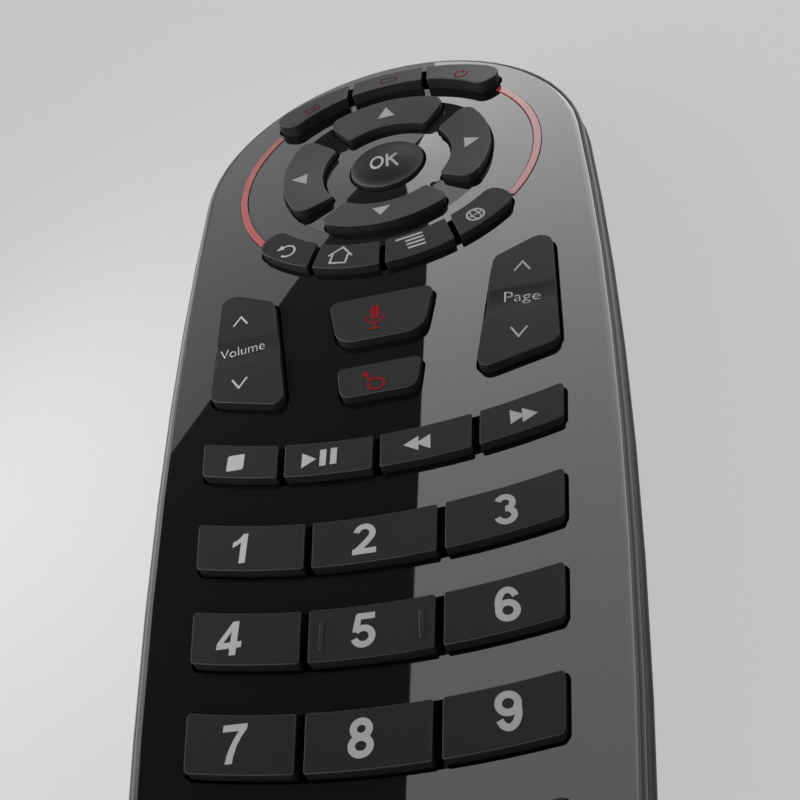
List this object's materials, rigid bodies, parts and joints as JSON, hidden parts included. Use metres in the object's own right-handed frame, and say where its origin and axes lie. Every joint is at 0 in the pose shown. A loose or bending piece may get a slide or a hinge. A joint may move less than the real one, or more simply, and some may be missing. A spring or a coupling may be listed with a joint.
{
  "type": "universal remote control",
  "caption": "Hand-held universal remote control with a round head, gloss face, direction ring with lit arcs, rockers, curved rows of press keys and a hinged battery door.",
  "frame": {"origin": "On the table under the middle of the body's length and width", "axes": "+Y runs from the foot to the round head, +Z points out of the key face, +X to the right seen from the face"},
  "size_m": [0.0584, 0.1544, 0.0208],
  "materials": {
    "gloss_face": "polished black",
    "satin_case": "fine satin black",
    "matt_key": "matt charcoal",
    "red_light_guide": "translucent red",
    "dark_window": "dark red, passes infrared light",
    "silicone": "matt silicone",
    "board": "green solder mask on glass fibre",
    "gilded_pads": "thin gold plate",
    "clear_epoxy": "clear epoxy",
    "red_led": "diffuse epoxy",
    "chip_black": "moulded epoxy",
    "tinned_steel": "bright tin plate",
    "cell_jacket": "printed jacket on steel",
    "screw_steel": "zinc plate"
  },
  "bodies": {
    "handset": {"top_cover": "gloss_face", "dpad_bezel": "gloss_face", "bottom_case": "satin_case", "light_strip_left": "red_light_guide", "light_strip_right": "red_light_guide", "ir_window": "dark_window", "key_mat": "silicone", "circuit_board": "board", "contact_pads": "gilded_pads", "ir_emitter": "clear_epoxy", "indicator_leds": "red_led", "controller_chip": "chip_black", "motion_sensor": "chip_black", "crystal": "tinned_steel", "microphone": "tinned_steel", "battery_left": "cell_jacket", "battery_right": "cell_jacket", "head_contacts": "tinned_steel", "foot_contact": "tinned_steel", "case_screws": "screw_steel"},
    "battery_door": {"battery_door": "satin_case"},
    "volume_rocker": {"volume_rocker": "matt_key"},
    "page_rocker": {"page_rocker": "matt_key"},
    "key_input": {"key_input": "matt_key"},
    "key_guide": {"key_guide": "matt_key"},
    "key_power": {"key_power": "matt_key"},
    "key_up": {"key_up": "matt_key"},
    "key_down": {"key_down": "matt_key"},
    "key_left": {"key_left": "matt_key"},
    "key_right": {"key_right": "matt_key"},
    "key_ok": {"key_ok": "matt_key"},
    "key_back": {"key_back": "matt_key"},
    "key_home": {"key_home": "matt_key"},
    "key_menu": {"key_menu": "matt_key"},
    "key_browser": {"key_browser": "matt_key"},
    "key_voice": {"key_voice": "matt_key"},
    "key_pointer": {"key_pointer": "matt_key"},
    "key_stop": {"key_stop": "matt_key"},
    "key_play_pause": {"key_play_pause": "matt_key"},
    "key_rewind": {"key_rewind": "matt_key"},
    "key_forward": {"key_forward": "matt_key"},
    "key_1": {"key_1": "matt_key"},
    "key_2": {"key_2": "matt_key"},
    "key_3": {"key_3": "matt_key"},
    "key_4": {"key_4": "matt_key"},
    "key_5": {"key_5": "matt_key"},
    "key_6": {"key_6": "matt_key"},
    "key_7": {"key_7": "matt_key"},
    "key_8": {"key_8": "matt_key"},
    "key_9": {"key_9": "matt_key"},
    "key_keyboard": {"key_keyboard": "matt_key"},
    "key_0": {"key_0": "matt_key"},
    "key_delete": {"key_delete": "matt_key"}
  },
  "joints": [
    {"name": "battery_door_swing", "type": "hinge", "parent": "handset", "child": "battery_door", "pos_m": [0, 0.00025, 0.0011], "axis": [1, 0, 0], "range_deg": [0, 95]},
    {"name": "volume_rocker_rock", "type": "hinge", "parent": "handset", "child": "volume_rocker", "pos_m": [-0.017, 0.0117, 0.01673], "axis": [1, 0, 0], "range_deg": [-3, 3], "stiffness_Nm_per_rad": 0.25, "deforming": ["key_mat"]},
    {"name": "page_rocker_rock", "type": "hinge", "parent": "handset", "child": "page_rocker", "pos_m": [0.017, 0.0117, 0.01673], "axis": [1, 0, 0], "range_deg": [-3, 3], "stiffness_Nm_per_rad": 0.25, "deforming": ["key_mat"]},
    {"name": "key_input_press", "type": "slide", "parent": "handset", "child": "key_input", "axis": [0, 0, -1], "range_m": [0, 0.0007], "stiffness_N_per_m": 1600, "deforming": ["key_mat"]},
    {"name": "key_guide_press", "type": "slide", "parent": "handset", "child": "key_guide", "axis": [0, 0, -1], "range_m": [0, 0.0007], "stiffness_N_per_m": 1600, "deforming": ["key_mat"]},
    {"name": "key_power_press", "type": "slide", "parent": "handset", "child": "key_power", "axis": [0, 0, -1], "range_m": [0, 0.0007], "stiffness_N_per_m": 1600, "deforming": ["key_mat"]},
    {"name": "key_up_press", "type": "slide", "parent": "handset", "child": "key_up", "axis": [0, 0, -1], "range_m": [0, 0.0007], "stiffness_N_per_m": 1600, "deforming": ["key_mat"]},
    {"name": "key_down_press", "type": "slide", "parent": "handset", "child": "key_down", "axis": [0, 0, -1], "range_m": [0, 0.0007], "stiffness_N_per_m": 1600, "deforming": ["key_mat"]},
    {"name": "key_left_press", "type": "slide", "parent": "handset", "child": "key_left", "axis": [0, 0, -1], "range_m": [0, 0.0007], "stiffness_N_per_m": 1600, "deforming": ["key_mat"]},
    {"name": "key_right_press", "type": "slide", "parent": "handset", "child": "key_right", "axis": [0, 0, -1], "range_m": [0, 0.0007], "stiffness_N_per_m": 1600, "deforming": ["key_mat"]},
    {"name": "key_ok_press", "type": "slide", "parent": "handset", "child": "key_ok", "axis": [0, 0, -1], "range_m": [0, 0.0007], "stiffness_N_per_m": 1600, "deforming": ["key_mat"]},
    {"name": "key_back_press", "type": "slide", "parent": "handset", "child": "key_back", "axis": [0, 0, -1], "range_m": [0, 0.0007], "stiffness_N_per_m": 1600, "deforming": ["key_mat"]},
    {"name": "key_home_press", "type": "slide", "parent": "handset", "child": "key_home", "axis": [0, 0, -1], "range_m": [0, 0.0007], "stiffness_N_per_m": 1600, "deforming": ["key_mat"]},
    {"name": "key_menu_press", "type": "slide", "parent": "handset", "child": "key_menu", "axis": [0, 0, -1], "range_m": [0, 0.0007], "stiffness_N_per_m": 1600, "deforming": ["key_mat"]},
    {"name": "key_browser_press", "type": "slide", "parent": "handset", "child": "key_browser", "axis": [0, 0, -1], "range_m": [0, 0.0007], "stiffness_N_per_m": 1600, "deforming": ["key_mat"]},
    {"name": "key_voice_press", "type": "slide", "parent": "handset", "child": "key_voice", "axis": [0, 0, -1], "range_m": [0, 0.0007], "stiffness_N_per_m": 1600, "deforming": ["key_mat"]},
    {"name": "key_pointer_press", "type": "slide", "parent": "handset", "child": "key_pointer", "axis": [0, 0, -1], "range_m": [0, 0.0007], "stiffness_N_per_m": 1600, "deforming": ["key_mat"]},
    {"name": "key_stop_press", "type": "slide", "parent": "handset", "child": "key_stop", "axis": [0, 0, -1], "range_m": [0, 0.0007], "stiffness_N_per_m": 1600, "deforming": ["key_mat"]},
    {"name": "key_play_pause_press", "type": "slide", "parent": "handset", "child": "key_play_pause", "axis": [0, 0, -1], "range_m": [0, 0.0007], "stiffness_N_per_m": 1600, "deforming": ["key_mat"]},
    {"name": "key_rewind_press", "type": "slide", "parent": "handset", "child": "key_rewind", "axis": [0, 0, -1], "range_m": [0, 0.0007], "stiffness_N_per_m": 1600, "deforming": ["key_mat"]},
    {"name": "key_forward_press", "type": "slide", "parent": "handset", "child": "key_forward", "axis": [0, 0, -1], "range_m": [0, 0.0007], "stiffness_N_per_m": 1600, "deforming": ["key_mat"]},
    {"name": "key_1_press", "type": "slide", "parent": "handset", "child": "key_1", "axis": [0, 0, -1], "range_m": [0, 0.0007], "stiffness_N_per_m": 1600, "deforming": ["key_mat"]},
    {"name": "key_2_press", "type": "slide", "parent": "handset", "child": "key_2", "axis": [0, 0, -1], "range_m": [0, 0.0007], "stiffness_N_per_m": 1600, "deforming": ["key_mat"]},
    {"name": "key_3_press", "type": "slide", "parent": "handset", "child": "key_3", "axis": [0, 0, -1], "range_m": [0, 0.0007], "stiffness_N_per_m": 1600, "deforming": ["key_mat"]},
    {"name": "key_4_press", "type": "slide", "parent": "handset", "child": "key_4", "axis": [0, 0, -1], "range_m": [0, 0.0007], "stiffness_N_per_m": 1600, "deforming": ["key_mat"]},
    {"name": "key_5_press", "type": "slide", "parent": "handset", "child": "key_5", "axis": [0, 0, -1], "range_m": [0, 0.0007], "stiffness_N_per_m": 1600, "deforming": ["key_mat"]},
    {"name": "key_6_press", "type": "slide", "parent": "handset", "child": "key_6", "axis": [0, 0, -1], "range_m": [0, 0.0007], "stiffness_N_per_m": 1600, "deforming": ["key_mat"]},
    {"name": "key_7_press", "type": "slide", "parent": "handset", "child": "key_7", "axis": [0, 0, -1], "range_m": [0, 0.0007], "stiffness_N_per_m": 1600, "deforming": ["key_mat"]},
    {"name": "key_8_press", "type": "slide", "parent": "handset", "child": "key_8", "axis": [0, 0, -1], "range_m": [0, 0.0007], "stiffness_N_per_m": 1600, "deforming": ["key_mat"]},
    {"name": "key_9_press", "type": "slide", "parent": "handset", "child": "key_9", "axis": [0, 0, -1], "range_m": [0, 0.0007], "stiffness_N_per_m": 1600, "deforming": ["key_mat"]},
    {"name": "key_keyboard_press", "type": "slide", "parent": "handset", "child": "key_keyboard", "axis": [0, 0, -1], "range_m": [0, 0.0007], "stiffness_N_per_m": 1600, "deforming": ["key_mat"]},
    {"name": "key_0_press", "type": "slide", "parent": "handset", "child": "key_0", "axis": [0, 0, -1], "range_m": [0, 0.0007], "stiffness_N_per_m": 1600, "deforming": ["key_mat"]},
    {"name": "key_delete_press", "type": "slide", "parent": "handset", "child": "key_delete", "axis": [0, 0, -1], "range_m": [0, 0.0007], "stiffness_N_per_m": 1600, "deforming": ["key_mat"]}
  ]
}
